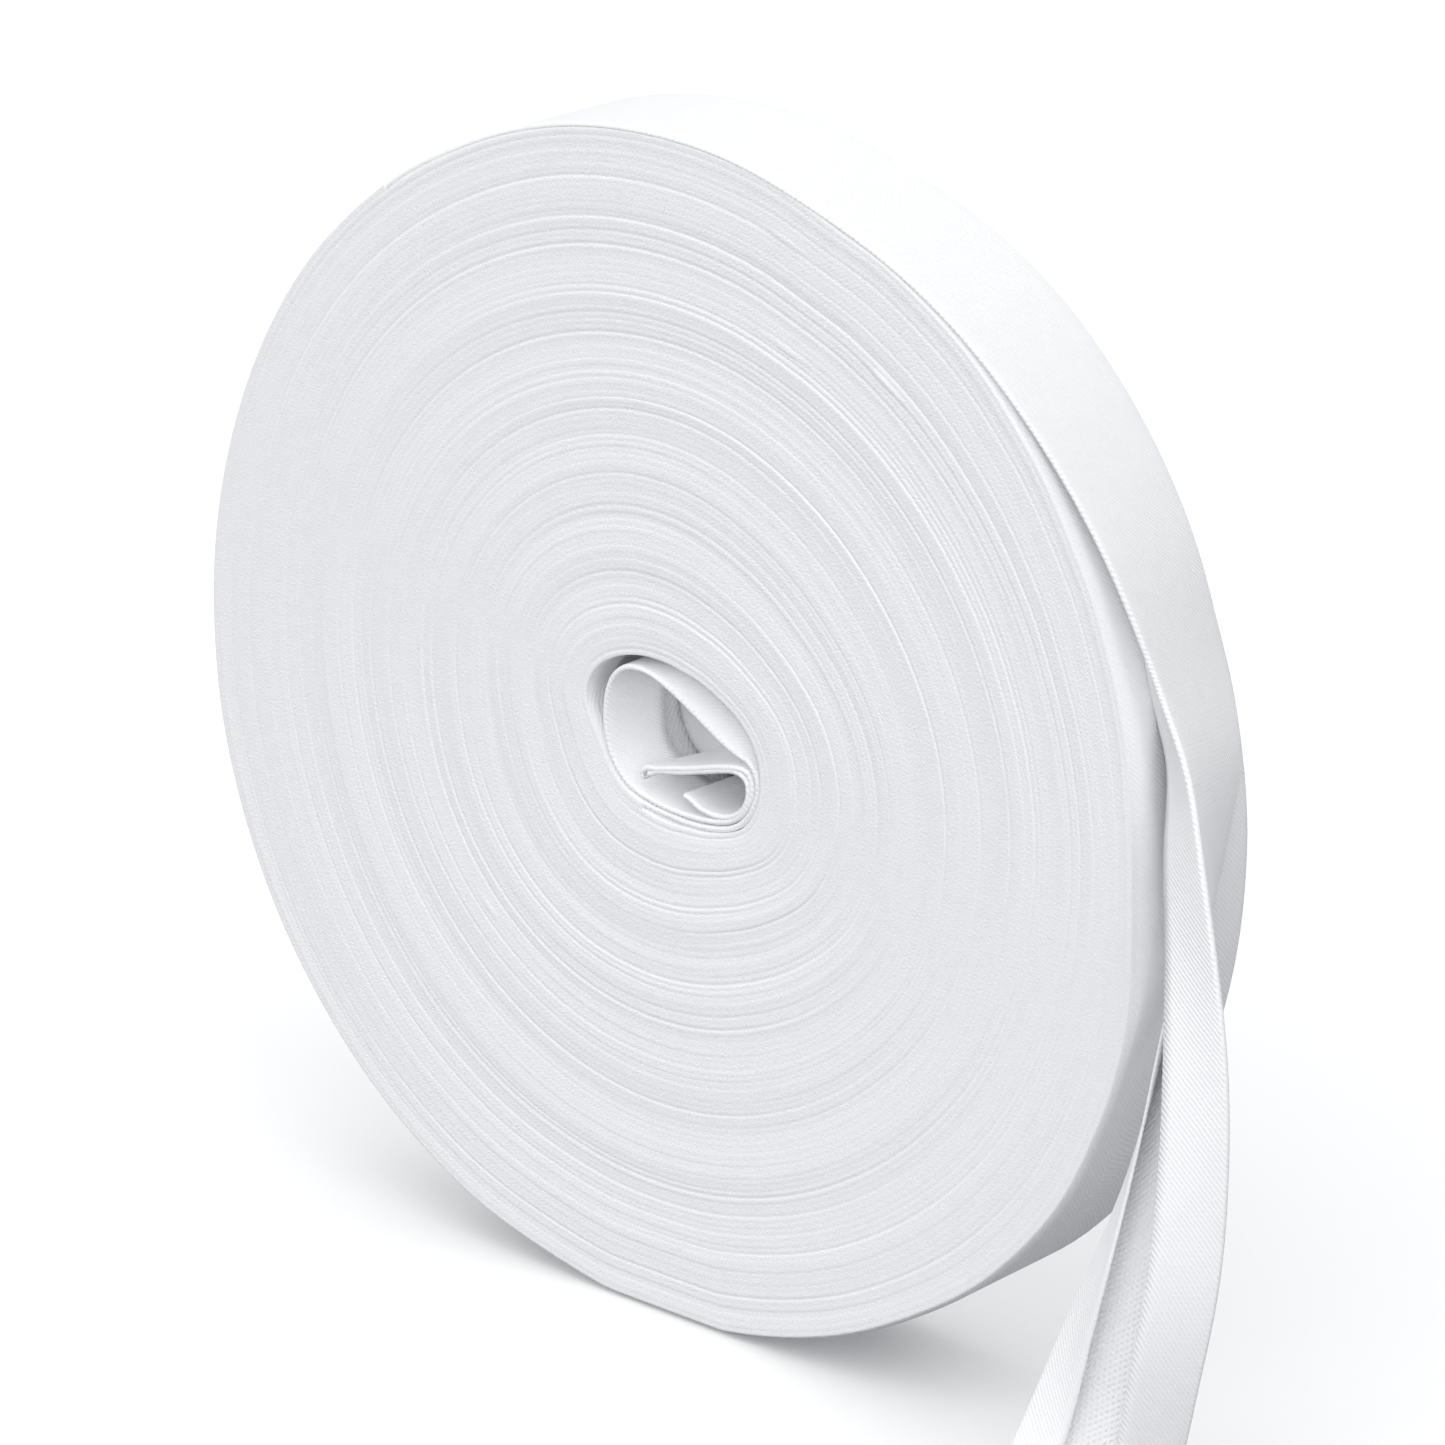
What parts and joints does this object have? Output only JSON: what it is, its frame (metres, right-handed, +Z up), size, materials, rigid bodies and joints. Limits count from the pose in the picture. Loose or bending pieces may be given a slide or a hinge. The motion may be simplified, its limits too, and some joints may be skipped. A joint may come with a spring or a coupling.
{
  "type": "roll of bias tape",
  "caption": "Standing roll of folded white bias tape, wound edge to edge round an oval hole, its outer end peeling off the rim and twisting down to the surface.",
  "frame": {"origin": "middle of the small flat spot on which the roll stands", "axes": "+Z up, +Y along the roll's axis toward its back face, +X toward the side where the outer end hangs"},
  "size_m": [0.1149, 0.0394, 0.1014],
  "materials": {
    "tape_cloth": "matt white twill weave with a faint sheen"
  },
  "bodies": {
    "root": {"wound_roll": "tape_cloth", "loose_end": "tape_cloth", "inner_end": "tape_cloth"}
  },
  "joints": []
}
